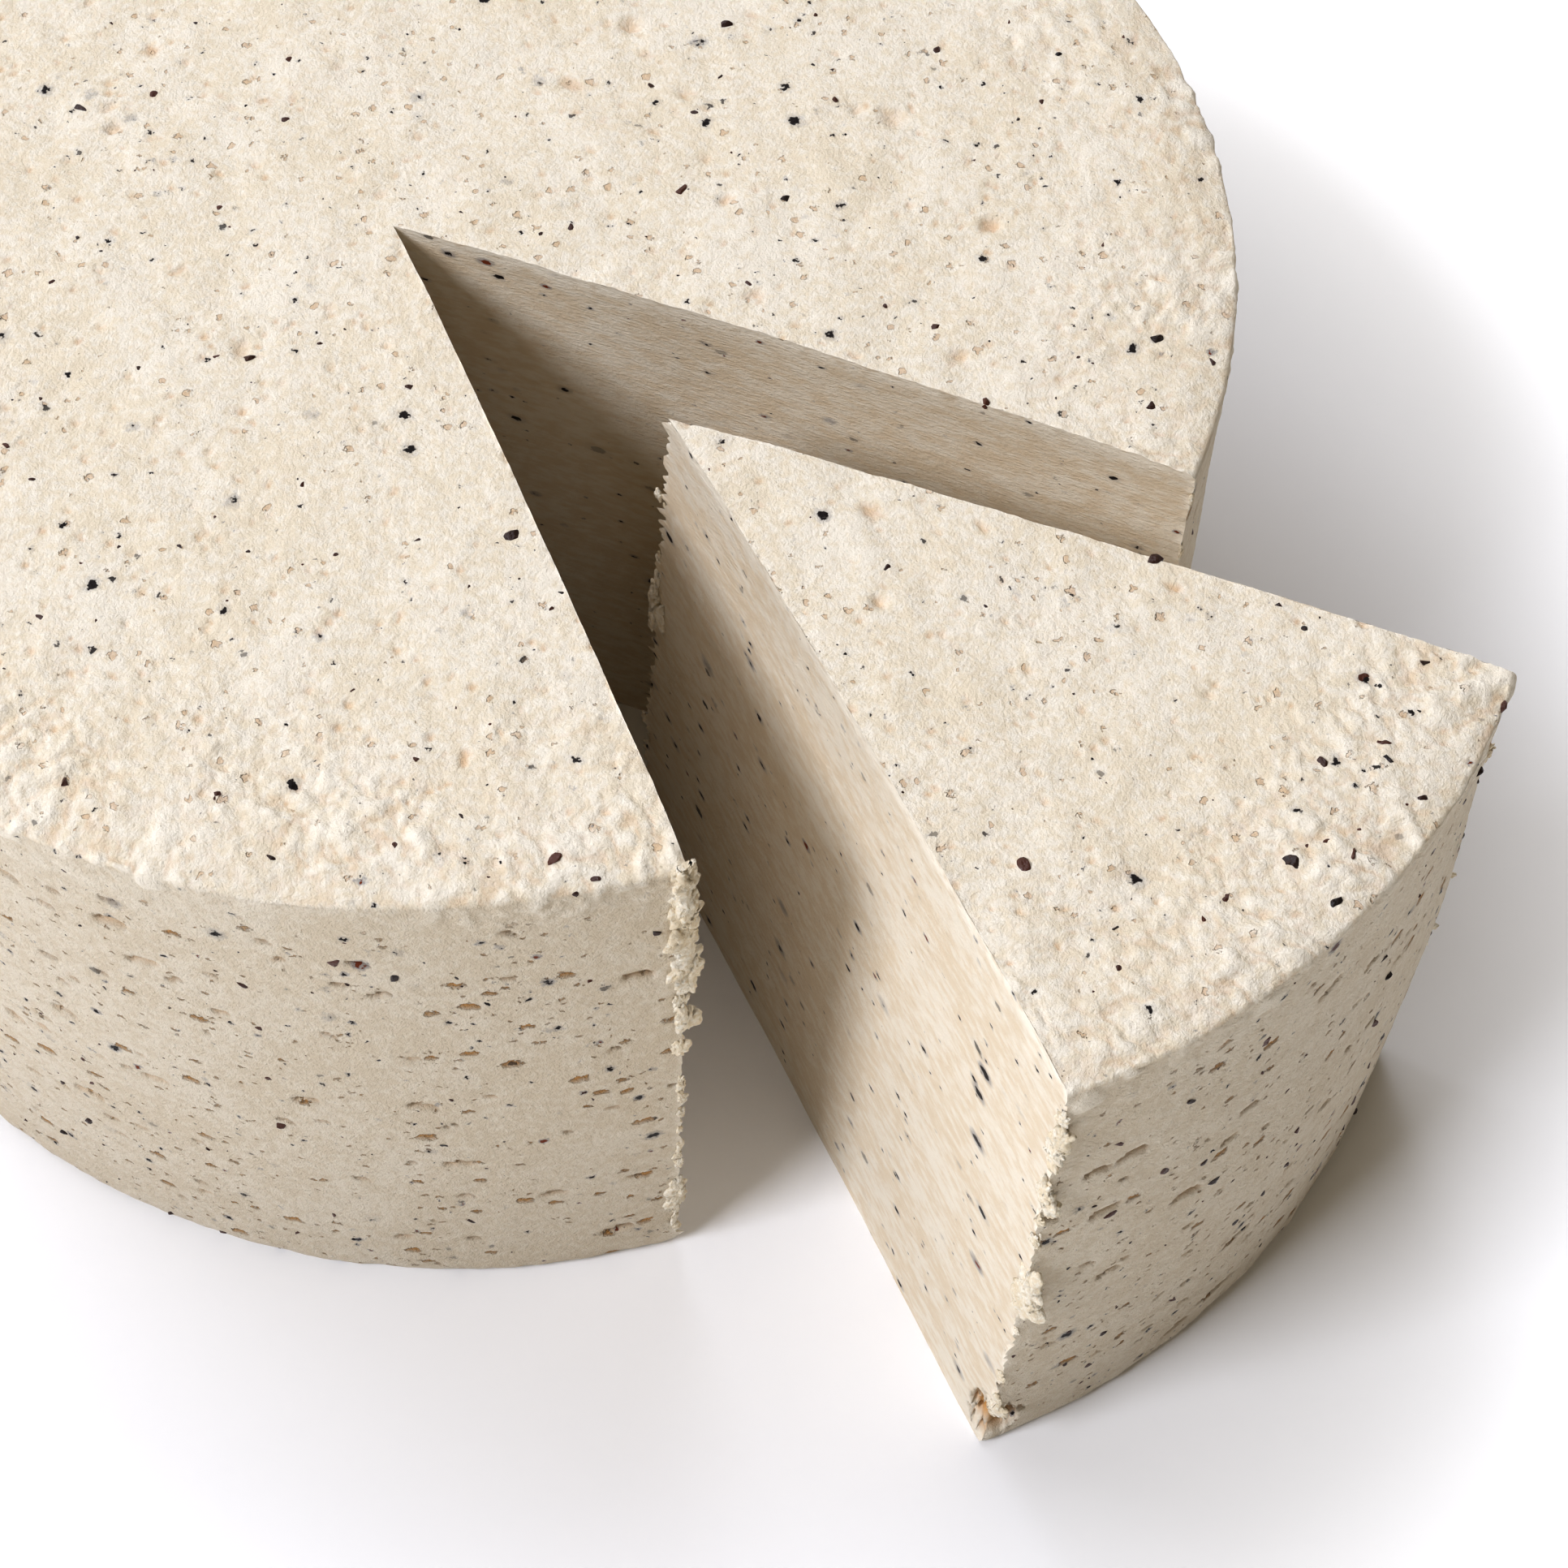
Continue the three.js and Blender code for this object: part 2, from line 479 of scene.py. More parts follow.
def tearFoot(shape):
    # the broken corner at the wedge's foot; the hole is tinted brown, which is painted shade in the hole
    f, points = cutFeel, shape["points"]
    heading, inward = cutLine(shape, 0)
    away = points[:, :2] - cutMeeting(points[:, 2])
    fromRim = cheese["radius"] - shape["fromAxis"]
    edge = np.stack([away @ inward, fromRim, points[:, 2] - f["tearHeight"]], 1)
    reach = np.linalg.norm(edge * (1, 1, 0.7), axis=1) / f["tearWidth"]
    hole = 1 - smoothStep(0.35, 1.0, reach + 0.35 * layeredNoise(points, 1.6, 131, 2))
    hole *= smoothStep(0.8, 2.5, points[:, 2])
    pull = (heading * -0.75 + inward * 0.65) * f["tearDepth"]
    shape["move"][:, :2] += hole[:, None] * pull
    shape["stainAndShade"] = np.maximum(shape["stainAndShade"], smoothStep(0.3, 0.8, hole))
    shape["pale"] = shape["pale"] * (1 - smoothStep(0.2, 0.6, hole))


def roughen(shape, seed):
    # moves the points of a plain sector into the paste's real surface
    points = shape["points"]
    rng = np.random.default_rng(seed)
    bins = PointBins(points, 2.0)
    shape["fromAxis"] = np.hypot(points[:, 0], points[:, 1])
    shape["move"] = np.zeros_like(points)
    shape["stainAndShade"] = np.zeros(len(points))
    layers = curdLayers(shape)
    roughenTop(shape, bins, layers, rng)
    roughenSide(shape, bins, layers, rng)
    for end in (0, 1):
        roughenCut(shape, end)
    if isWedge(shape):
        tearFoot(shape)
    shape["points"] = points + shape["move"]
    shape["points"][:, 2] = np.maximum(shape["points"][:, 2], 0)
    bowCuts(shape)


def buildMesh(name, points, faces):
    mesh = bpy.data.meshes.new(name)
    corners = faces[faces >= 0]
    starts = np.concatenate([[0], np.cumsum((faces >= 0).sum(1))[:-1]])
    mesh.vertices.add(len(points))
    mesh.vertices.foreach_set("co", (points * mm).astype(np.float32).ravel())
    mesh.loops.add(len(corners))
    mesh.loops.foreach_set("vertex_index", corners.astype(np.int32))
    mesh.polygons.add(len(faces))
    mesh.polygons.foreach_set("loop_start", starts.astype(np.int32))
    mesh.polygons.foreach_set("use_smooth", np.ones(len(faces), bool))
    mesh.update(calc_edges=True)
    piece = bpy.data.objects.new(name, mesh)
    bpy.context.scene.collection.objects.link(piece)
    return piece


def storeShare(mesh, name, values):
    store = mesh.attributes.new(name, "FLOAT", "POINT")
    store.data.foreach_set("value", values.astype(np.float32))


def sharpenCuts(mesh, regions):
    # the shading breaks along every line where a knife cut meets the moulded skin
    edgeOf = np.zeros(len(mesh.loops), np.int32)
    mesh.loops.foreach_get("edge_index", edgeOf)
    total = np.zeros(len(mesh.polygons), np.int32)
    mesh.polygons.foreach_get("loop_total", total)
    kind = np.repeat(np.where(regions >= 3, regions, 0), total)
    least = np.full(len(mesh.edges), 9)
    most = np.full(len(mesh.edges), -1)
    np.minimum.at(least, edgeOf, kind)
    np.maximum.at(most, edgeOf, kind)
    sharp = mesh.attributes.new("sharp_edge", "BOOLEAN", "EDGE")
    sharp.data.foreach_set("value", least != most)


def makeSector(name, startAngle, endAngle, step, spacingAt, seed, place):
    shape = sectorShape(startAngle, endAngle, step, spacingAt)
    shape["name"] = name
    onCut = []
    for region in (3, 4):
        flag = np.zeros(len(shape["points"]))
        ids = shape["faces"][shape["regions"] == region].ravel()
        flag[ids[ids >= 0]] = 1
        onCut.append(flag)
    shape["onCut"] = onCut
    roughen(shape, seed)
    shape["points"] = place(shape["points"])
    piece = buildMesh(name, shape["points"], shape["faces"])
    piece.data.polygons.foreach_set("material_index", (shape["regions"] >= 3).astype(np.int32))
    for share in ("topShare", "stainAndShade", "pale"):
        storeShare(piece.data, share, shape[share])
    sharpenCuts(piece.data, shape["regions"])
    print("made", name, len(shape["points"]), "points")
    return piece, shape


def placeWheel(points):
    return points + np.array([axisX, axisY, 0])


def placeWedge(points):
    c = cheese
    turn = math.radians(c["wedgeTurn"])
    spin = np.array([[math.cos(turn), -math.sin(turn)], [math.sin(turn), math.cos(turn)]])
    meet = np.array(c["cutsMeet"])
    flat = (points[:, :2] - meet) @ spin.T + meet + np.array(c["wedgePull"]) + (axisX, axisY)
    return np.concatenate([flat, points[:, 2:]], 1)


meshPlan = {
    "step": 0.55,
    "frontSpacing": 0.5,      # along the side that faces the front
    "backSpacing": 0.95,
    "edgeSpacing": 0.3,       # beside the upright cut edges
    "frontStarts": 310.0,     # millimetres along the side from the far cut
    "frontFade": 40.0,
}
coarseness = 1.0


def wheelSpacing(walk):
    p = meshPlan
    length = walk[-1]
    spacing = p["backSpacing"] + (p["frontSpacing"] - p["backSpacing"]) * smoothStep(
        p["frontStarts"] - p["frontFade"], p["frontStarts"], walk)
    edge = 1 - smoothStep(2, 8, np.minimum(walk, length - walk))
    return coarseness * (spacing + (p["edgeSpacing"] - spacing) * edge)


def wedgeSpacing(walk):
    p = meshPlan
    edge = 1 - smoothStep(2, 6, np.minimum(walk, walk[-1] - walk))
    return coarseness * (p["frontSpacing"] + (p["edgeSpacing"] - p["frontSpacing"]) * edge)


wheel, wheelShape = makeSector(
    "wheel_cheese", cheese["farCut"], 360 + cheese["nearCut"],
    meshPlan["step"] * coarseness, wheelSpacing, 401, placeWheel)
wedge, wedgeShape = makeSector(
    "wedge_cheese", cheese["nearCut"] + cheese["wedgeTrim"], cheese["farCut"] - cheese["wedgeTrim"],
    meshPlan["step"] * coarseness, wedgeSpacing, 402, placeWedge)


pepper = {
    "wheelGrains": 680,
    "wedgeGrains": 135,
    "smallest": 0.24,        # half widths in millimetres
    "largest": 1.3,
    "flatness": 0.55,
    "proud": 0.30,           # share of the grain's thickness that stands above the paste
}
crumbs = {
    "clustered": (1.0, 2.6),     # half width of the scraps that hang together
    "stray": (0.4, 1.1),
    "spread": 2.4,
    "thin": 0.3,
    "wheelTilt": (0.9, 1.9),     # how far the scraps turn out of the cut's own plane
    "wedgeTilt": (-0.25, 0.6),
    # which cut, at its rim or its tip, the heights where scraps cluster, how many stray ones
    "wheelEdges": (
        (1, True, (92, 86, 80, 74, 63, 15), 30),
        (0, True, (), 10),
    ),
    "wedgeEdges": (
        (0, True, (83, 72, 50, 9), 24),
        (1, True, (), 10),
        (0, False, (58,), 16),
    ),
}


def roundForm(levels):
    shell = bmesh.new()
    bmesh.ops.create_icosphere(shell, subdivisions=levels, radius=1)
    points = np.array([v.co[:] for v in shell.verts])
    faces = np.array([[v.index for v in f.verts] for f in shell.faces])
    shell.free()
    return points, faces


def facingFrames(normals, rng):
    # two directions across each normal, turned at random
    other = rng.normal(size=normals.shape)
    across = np.cross(normals, other)
    across /= np.linalg.norm(across, axis=1)[:, None]
    return across, np.cross(normals, across)


def surfaceSpots(shape, regions, count, rng):
    faces = shape["faces"][np.isin(shape["regions"], regions)]
    corners = shape["points"][faces[:, :3]]
    lean = np.cross(corners[:, 1] - corners[:, 0], corners[:, 2] - corners[:, 0])
    area = np.linalg.norm(lean, axis=1) * np.where(faces[:, 3] >= 0, 1.0, 0.5)
    pick = rng.choice(len(faces), count, p=area / area.sum())
    normals = lean[pick] / np.linalg.norm(lean[pick], axis=1)[:, None]
    return corners[pick].mean(1), normals


def grainMesh(name, shape, count, seed):
    p = pepper
    rng = np.random.default_rng(seed)
    form, formFaces = roundForm(2)
    spots, normals = surfaceSpots(shape, (0, 1), count, rng)
    across, along = facingFrames(normals, rng)
    size = p["smallest"] + (p["largest"] - p["smallest"]) * rng.random(count) ** 2.3
    points, faces = [], []
    for n in range(count):
        # cracked corn: a round form cut by a few flat planes
        body = form * rng.uniform(0.6, 1.3, 3)
        for _ in range(8):
            cut = rng.normal(size=3)
            cut /= np.linalg.norm(cut)
            over = np.maximum(body @ cut - rng.uniform(0.3, 0.7), 0)
            body = body - over[:, None] * cut
        thick = size[n] * p["flatness"]
        seat = spots[n] - normals[n] * thick * (1 - 2 * p["proud"]) * 0.8
        points.append(seat + size[n] * (body[:, :1] * across[n] + body[:, 1:2] * along[n] * 0.8)
                      + thick * body[:, 2:] * normals[n])
        faces.append(formFaces + n * len(form))
    points, faces = np.concatenate(points), np.concatenate(faces)
    points[:, 2] = np.maximum(points[:, 2], 0)
    faces = np.concatenate([faces, np.full((len(faces), 1), -1)], 1)
    grains = buildMesh(name, points, faces)
    grains.data.polygons.foreach_set("use_smooth", np.zeros(len(faces), bool))
    storeShare(grains.data, "shade", np.repeat(rng.random(count), len(form)))
    print("made", name, count, "grains")
    return grains


def edgeSpots(shape, end, fromRim, heights):
    # places on an upright edge of a cut: at the rim side, or at the tip
    onEdge = (shape["onCut"][end] > 0) & (shape["isSide"] if fromRim else shape["atTip"])
    ids = np.flatnonzero(onEdge)
    order = ids[np.argsort(shape["points"][ids, 2])]
    pick = np.searchsorted(shape["points"][order, 2], heights).clip(0, len(order) - 1)
    return shape["points"][order[pick]]


def tornFlake(form, rng):
    # a thin scrap with a ragged outline: x away from the paste, y through it, z up
    seed = int(rng.integers(1 << 30))
    turn = np.arctan2(form[:, 2], form[:, 0])
    rim = np.stack([np.cos(turn), np.sin(turn), np.zeros(len(turn))], 1)
    ragged = 1 + 0.55 * gradientNoise(rim * 1.7 + 5, seed) + 0.4 * gradientNoise(rim * 4.5 + 5, seed + 1)
    lumpy = 1 + 0.6 * gradientNoise(form * 1.9 + 5, seed + 2)
    return np.stack([form[:, 0] * ragged, form[:, 1] * lumpy, form[:, 2] * ragged], 1)


def crumbMesh(name, shape, edges, seed):
    p = crumbs
    rng = np.random.default_rng(seed)
    form, formFaces = roundForm(4)
    points, faces, made = [], [], 0
    for end, fromRim, clusters, strays in edges:
        heading, _ = cutLine(shape, end)
        heading = Vector((*heading, 0))
        if isWedge(shape):
            heading.rotate(Matrix.Rotation(math.radians(cheese["wedgeTurn"]), 3, "Z"))
        forward = np.array(heading) * (1 if fromRim else -1)
        out = np.array((heading.y, -heading.x, 0)) * (1 if end == 0 else -1)
        heights = [rng.uniform(5, cheese["height"] - 5, strays)]
        for centre in clusters:
            heights.append(rng.normal(centre, p["spread"], rng.integers(5, 9)))
        heights = np.concatenate(heights).clip(2, cheese["height"] - 2)
        for n, spot in enumerate(edgeSpots(shape, end, fromRim, heights)):
            stray = n < strays
            size = rng.uniform(*p["stray"]) if stray else rng.uniform(*p["clustered"])
            tilt = rng.uniform(*p["wedgeTilt" if isWedge(shape) else "wheelTilt"])
            lie = out * math.sin(tilt) - forward * math.cos(tilt)
            through = np.cross(lie, (0, 0, 1))
            body = tornFlake(form, rng)
            seat = spot + lie * size * rng.uniform(-0.35, 0.15)
            points.append(seat + size * (body[:, :1] * lie * rng.uniform(0.5, 0.9)
                          + body[:, 1:2] * through * p["thin"]
                          + body[:, 2:] * np.array((0, 0, 1)) * rng.uniform(0.8, 1.6)))
            faces.append(formFaces + made * len(form))
            made += 1
    points, faces = np.concatenate(points), np.concatenate(faces)
    points[:, 2] = points[:, 2].clip(0.1, cheese["height"])
    faces = np.concatenate([faces, np.full((len(faces), 1), -1)], 1)
    flakes = buildMesh(name, points, faces)
    print("made", name, made, "flakes")
    return flakes


wheelPepper = grainMesh("wheel_pepper", wheelShape, pepper["wheelGrains"], 511)
wedgePepper = grainMesh("wedge_pepper", wedgeShape, pepper["wedgeGrains"], 512)
wheelCrumbs = crumbMesh("wheel_crumbs", wheelShape, crumbs["wheelEdges"], 521)
wedgeCrumbs = crumbMesh("wedge_crumbs", wedgeShape, crumbs["wedgeEdges"], 522)


def plug(tree, socket, value):
    # links a socket, or sets a plain value on it
    if isinstance(value, bpy.types.NodeSocket):
        tree.links.new(value, socket)
    else:
        socket.default_value = value


def addNode(tree, kind, inputs=None, **settings):
    node = tree.nodes.new(kind)
    for key, value in settings.items():
        setattr(node, key, value)
    for key, value in (inputs or {}).items():
        plug(tree, node.inputs[key], value)
    return node


def maths(tree, operation, a, b=0.0, c=0.0, clamp=False):
    node = addNode(tree, "ShaderNodeMath", {0: a, 1: b, 2: c}, operation=operation, use_clamp=clamp)
    return node.outputs[0]


def vectorMaths(tree, operation, a, b):
    node = addNode(tree, "ShaderNodeVectorMath", {0: a}, operation=operation)
    plug(tree, node.inputs["Scale"] if operation == "SCALE" else node.inputs[1], b)
    return node.outputs["Value" if operation == "LENGTH" else "Vector"]


def ramp(tree, value, low, high, start=0.0, end=1.0):
    node = addNode(tree, "ShaderNodeMapRange", {
        "Value": value, "From Min": low, "From Max": high, "To Min": start, "To Max": end,
    }, interpolation_type="SMOOTHSTEP")
    return node.outputs[0]


def blendColour(tree, share, a, b, kind="MIX"):
    node = addNode(tree, "ShaderNodeMix", {0: share, 6: a, 7: b}, data_type="RGBA", blend_type=kind)
    return node.outputs[2]


def noise(tree, vector, scale, detail=2.0, rough=0.5, colour=False):
    node = addNode(tree, "ShaderNodeTexNoise", {
        "Vector": vector, "Scale": scale, "Detail": detail, "Roughness": rough})
    return node.outputs["Color" if colour else "Fac"]


def newGroup(name, inputs, outputs):
    group = bpy.data.node_groups.new(name, "ShaderNodeTree")
    for label, kind, value in inputs:
        socket = group.interface.new_socket(name=label, in_out="INPUT", socket_type=kind)
        if value is not None:
            socket.default_value = value
    for label, kind in outputs:
        group.interface.new_socket(name=label, in_out="OUTPUT", socket_type=kind)
    enter = group.nodes.new("NodeGroupInput")
    leave = group.nodes.new("NodeGroupOutput")
    return group, enter.outputs, leave.inputs


def jitter(tree, vector, scale, amount):
    # pushes the pattern about so that its shapes are broken, not round
    wobble = noise(tree, vector, scale, 2.0, 0.6, colour=True)
    centred = vectorMaths(tree, "SUBTRACT", wobble, (0.5, 0.5, 0.5))
    moved = vectorMaths(tree, "SCALE", centred, amount)
    return vectorMaths(tree, "ADD", vector, moved)


def makeFleckGroup():
    # dark flecks of one size range; the ones sunk in the paste show as a grey smudge
    group, given, out = newGroup("pepperFlecks", (
        ("Vector", "NodeSocketVector", None),
        ("Cell", "NodeSocketFloat", 4.0),
        ("Radius", "NodeSocketFloat", 0.6),
        ("Share", "NodeSocketFloat", 0.5),
    ), (("Core", "NodeSocketFloat"), ("Smudge", "NodeSocketFloat"), ("Random", "NodeSocketFloat")))
    density = maths(group, "DIVIDE", 1.0, given["Cell"])
    cells = addNode(group, "ShaderNodeTexVoronoi", {"Vector": given["Vector"], "Scale": density})
    parts = addNode(group, "ShaderNodeSeparateColor", {"Color": cells.outputs["Color"]})
    away = maths(group, "MULTIPLY", cells.outputs["Distance"], given["Cell"])
    held = maths(group, "LESS_THAN", parts.outputs["Green"], given["Share"])
    small = maths(group, "MULTIPLY_ADD", maths(group, "POWER", parts.outputs["Red"], 1.6), 0.75, 0.25)
    edge = maths(group, "DIVIDE", away, maths(group, "MULTIPLY", small, given["Radius"]))
    group.links.new(maths(group, "MULTIPLY", ramp(group, edge, 1.0, 0.75), held), out["Core"])
    group.links.new(maths(group, "MULTIPLY", ramp(group, edge, 2.1, 0.9), held), out["Smudge"])
    group.links.new(parts.outputs["Blue"], out["Random"])
    return group


def makePitGroup():
    # small hollows, deepest under their upper lip; the Depth output also tints the colour there, which is
    # painted shade under the lip
    group, given, out = newGroup("tornHollows", (
        ("Vector", "NodeSocketVector", None),
        ("Cell", "NodeSocketFloat", 3.0),
        ("Radius", "NodeSocketFloat", 0.6),
        ("Share", "NodeSocketFloat", 0.5),
        ("Lip", "NodeSocketFloat", 1.0),
    ), (("Mask", "NodeSocketFloat"), ("Depth", "NodeSocketFloat")))
    density = maths(group, "DIVIDE", 1.0, given["Cell"])
    cells = addNode(group, "ShaderNodeTexVoronoi", {"Vector": given["Vector"], "Scale": density})
    parts = addNode(group, "ShaderNodeSeparateColor", {"Color": cells.outputs["Color"]})
    away = maths(group, "MULTIPLY", cells.outputs["Distance"], given["Cell"])
    held = maths(group, "LESS_THAN", parts.outputs["Green"], given["Share"])
    small = maths(group, "MULTIPLY_ADD", parts.outputs["Red"], 0.65, 0.35)
    radius = maths(group, "MULTIPLY", small, given["Radius"])
    local = vectorMaths(group, "SUBTRACT", given["Vector"], cells.outputs["Position"])
    height = addNode(group, "ShaderNodeSeparateXYZ", {"Vector": local}).outputs["Z"]
    level = maths(group, "DIVIDE", height, radius)
    edge = maths(group, "DIVIDE", away, radius)
    mask = maths(group, "MULTIPLY", ramp(group, edge, 1.0, 0.8), held)
    under = maths(group, "MULTIPLY_ADD", level, given["Lip"], 0.55, clamp=True)
    group.links.new(mask, out["Mask"])
    group.links.new(maths(group, "MULTIPLY", mask, under), out["Depth"])
    return group


def makeMottleGroup():
    # slow and quick changes of tone in the paste
    group, given, out = newGroup("pasteMottle", (
        ("Vector", "NodeSocketVector", None),
        ("Broad", "NodeSocketFloat", 0.06),
        ("Fine", "NodeSocketFloat", 0.6),
    ), (("Tone", "NodeSocketFloat"), ("Grain", "NodeSocketFloat")))
    slow = addNode(group, "ShaderNodeTexNoise", {
        "Vector": given["Vector"], "Scale": given["Broad"], "Detail": 1.0})
    quick = addNode(group, "ShaderNodeTexNoise", {
        "Vector": given["Vector"], "Scale": given["Fine"], "Detail": 2.0, "Roughness": 0.65})
    tone = maths(group, "ADD", maths(group, "MULTIPLY", slow.outputs["Fac"], 0.3),
                 maths(group, "MULTIPLY", quick.outputs["Fac"], 0.7))
    group.links.new(ramp(group, tone, 0.38, 0.62), out["Tone"])
    group.links.new(quick.outputs["Fac"], out["Grain"])
    return group


fleckGroup = makeFleckGroup()
pitGroup = makePitGroup()
mottleGroup = makeMottleGroup()


def useGroup(tree, group, **inputs):
    return addNode(tree, "ShaderNodeGroup", inputs, node_tree=group).outputs


def startMaterial(name):
    material = bpy.data.materials.new(name)
    material.use_nodes = True
    tree = material.node_tree
    shader = tree.nodes["Principled BSDF"]
    place = addNode(tree, "ShaderNodeTexCoord").outputs["Object"]
    inMm = vectorMaths(tree, "SCALE", place, 1 / mm)
    return material, tree, shader, inMm


def stretch(tree, vector, amounts):
    return vectorMaths(tree, "MULTIPLY", vector, amounts)


def share(tree, name):
    return addNode(tree, "ShaderNodeAttribute", attribute_name=name).outputs["Fac"]


def linear(red, green, blue):
    # a colour given as it looks on screen, 0 to 255
    values = [v / 255 for v in (red, green, blue)]
    return (*[v / 12.92 if v <= 0.04045 else ((v + 0.055) / 1.055) ** 2.4 for v in values], 1.0)


colours = {
    "topLight": linear(243, 235, 219),
    "topDeep": linear(236, 224, 201),
    "sideLight": linear(229, 219, 201),
    "sideDeep": linear(220, 207, 185),
    "cutLight": linear(232, 223, 206),
    "cutDeep": linear(223, 208, 184),
    # tan-brown for the knife streaks and pores, also used as painted shade in pits, creases and the torn
    # hole
    "hollow": linear(198, 148, 84),
    "pale": linear(248, 241, 226),
    "smudge": linear(132, 131, 136),
    "fleck": linear(34, 27, 26),
    "rust": linear(128, 62, 30),
    "blackHusk": linear(28, 22, 21),
    "brownHusk": linear(88, 48, 32),
    "wornHusk": linear(96, 72, 58),
    "scrapDeep": linear(238, 224, 197),
    "scrapLight": linear(250, 243, 227),
}


# Millimetres between flecks, their largest half width, and the share of places that hold one
fleckSizes = (
    {"cell": 5.2, "radius": 0.85, "share": 0.5},
    {"cell": 2.8, "radius": 0.5, "share": 0.42},
    {"cell": 1.7, "radius": 0.28, "share": 0.25},
)
# The same for the pores of the top and the torn pits of the side, and how one-sided they are
skinHollows = {
    "pores": {"Cell": 2.3, "Radius": 0.6, "Share": 0.45, "Lip": 0.0},
    "small": {"Cell": 1.6, "Radius": 0.5, "Share": 0.3, "Lip": 0.8},
    "large": {"Cell": 3.8, "Radius": 1.5, "Share": 0.2, "Lip": 0.85},
}


def addFlecks(tree, base, vector, amount=1.0):
    # flecks of each size; a few of them are rust-coloured
    cores = []
    for size in fleckSizes:
        fleck = useGroup(
            tree, fleckGroup, Vector=vector, Cell=size["cell"], Radius=size["radius"],
            Share=size["share"] * amount)
        faint = maths(tree, "MULTIPLY", fleck["Smudge"], ramp(tree, fleck["Random"], 0.2, 1.0, 0.1, 0.65))
        base = blendColour(tree, faint, base, colours["smudge"])
        solid = maths(tree, "MULTIPLY", fleck["Core"], ramp(tree, fleck["Random"], 0.1, 0.4, 0.35, 1.0))
        tint = blendColour(tree, ramp(tree, fleck["Random"], 0.93, 0.95), colours["fleck"], colours["rust"])
        base = blendColour(tree, solid, base, tint)
        cores.append(solid)
    return base, cores[0]


def addBump(tree, height, distance):
    return addNode(tree, "ShaderNodeBump", {"Height": height, "Distance": distance}).outputs["Normal"]


def finishPaste(shader):
    shader.inputs["IOR"].default_value = 1.42
    shader.inputs["Specular IOR Level"].default_value = 0.3


# Scales are per millimetre, depths in millimetres, and the rest are shares of a colour
skinLook = {
    "broad": 0.09, "fine": 0.75,
    "tornScale": 1.3, "tornBy": 1.5,
    "lipScale": 3.6, "lipBy": 0.7,
    "pitSquash": 1.4,        # how much wider than high the pits are
    "poreTint": 0.42, "pitBrownAndShadeTint": 0.95, "stainAndShadeTint": 0.7, "paleTint": 0.7,
    "grainScale": 1.9, "grain": 0.28, "sideGrain": 0.15,
    "pitDepth": 1.0, "poreDepth": 0.3,
}


def makeSkin():
    # the moulded skin: creamy and curdy on top, greyer and pitted on the side
    p = skinLook
    material, tree, shader, place = startMaterial("cheeseSkin")
    top = share(tree, "topShare")
    stainAndShade = share(tree, "stainAndShade")
    pale = share(tree, "pale")
    torn = jitter(tree, place, p["tornScale"], p["tornBy"])
    mottle = useGroup(tree, mottleGroup, Vector=place, Broad=p["broad"], Fine=p["fine"])
    topTone = blendColour(tree, mottle["Tone"], colours["topDeep"], colours["topLight"])
    sideTone = blendColour(tree, mottle["Tone"], colours["sideDeep"], colours["sideLight"])
    base = blendColour(tree, top, sideTone, topTone)

    ragged = jitter(tree, torn, p["lipScale"], p["lipBy"])
    flat = stretch(tree, ragged, (1.0, 1.0, p["pitSquash"]))
    sideShare = maths(tree, "SUBTRACT", 1.0, top)
    pores = useGroup(tree, pitGroup, Vector=torn, **skinHollows["pores"])
    small = useGroup(tree, pitGroup, Vector=flat, **skinHollows["small"])
    large = useGroup(tree, pitGroup, Vector=flat, **skinHollows["large"])
    pore = maths(tree, "MULTIPLY", pores["Mask"], top)
    pit = maths(tree, "MAXIMUM", maths(tree, "MULTIPLY", small["Depth"], 0.7), large["Depth"])
    height = addNode(tree, "ShaderNodeSeparateXYZ", {"Vector": place}).outputs["Z"]
    belowRim = ramp(tree, height, cheese["height"] - 4.0, cheese["height"] - 8.0)
    pit = maths(tree, "MULTIPLY", maths(tree, "MULTIPLY", pit, sideShare), belowRim)
    # painted shade: the pits are tinted darkest under their upper lip, and the stain mark tints the pit
    # insides, curd creases and torn hole; the pores and dimples keep their own tan
    poreTint = maths(tree, "MULTIPLY", pore, p["poreTint"])
    pitBrownAndShadeTint = maths(tree, "MULTIPLY", pit, p["pitBrownAndShadeTint"])
    hollow = maths(tree, "MAXIMUM", poreTint, pitBrownAndShadeTint)
    hollow = maths(tree, "MAXIMUM", hollow, maths(tree, "MULTIPLY", stainAndShade, p["stainAndShadeTint"]))
    base = blendColour(tree, hollow, base, colours["hollow"])
    base = blendColour(tree, maths(tree, "MULTIPLY", pale, p["paleTint"]), base, colours["pale"])
    base, core = addFlecks(tree, base, torn)
    tree.links.new(base, shader.inputs["Base Color"])

    fine = noise(tree, place, p["grainScale"], 4.0, 0.7)
    fineShare = maths(tree, "MULTIPLY_ADD", sideShare, p["sideGrain"], p["grain"])
    height = maths(tree, "MULTIPLY_ADD", fine, fineShare, maths(tree, "MULTIPLY", pit, -p["pitDepth"]))
    height = maths(tree, "MULTIPLY_ADD", pore, -p["poreDepth"], height)
    tree.links.new(addBump(tree, height, mm), shader.inputs["Normal"])
    rough = ramp(tree, mottle["Grain"], 0.3, 0.7, 0.62, 0.82)
    rough = maths(tree, "MULTIPLY_ADD", core, -0.3, rough)
    tree.links.new(rough, shader.inputs["Roughness"])
    finishPaste(shader)
    return material


cutLook = {
    "broad": 0.08, "fine": 0.5,
    "mottleStretch": (0.6, 0.6, 1.6),
    "streakStretch": (0.45, 0.45, 2.8),       # the knife drew the streaks out level
    "fleckStretch": (0.62, 0.62, 1.1),
    "paleStreak": 0.14, "deepStreak": 0.08, "paleTint": 0.8,
    "flecks": 1.25,
    "grain": 0.16, "streakRise": 0.14,
}


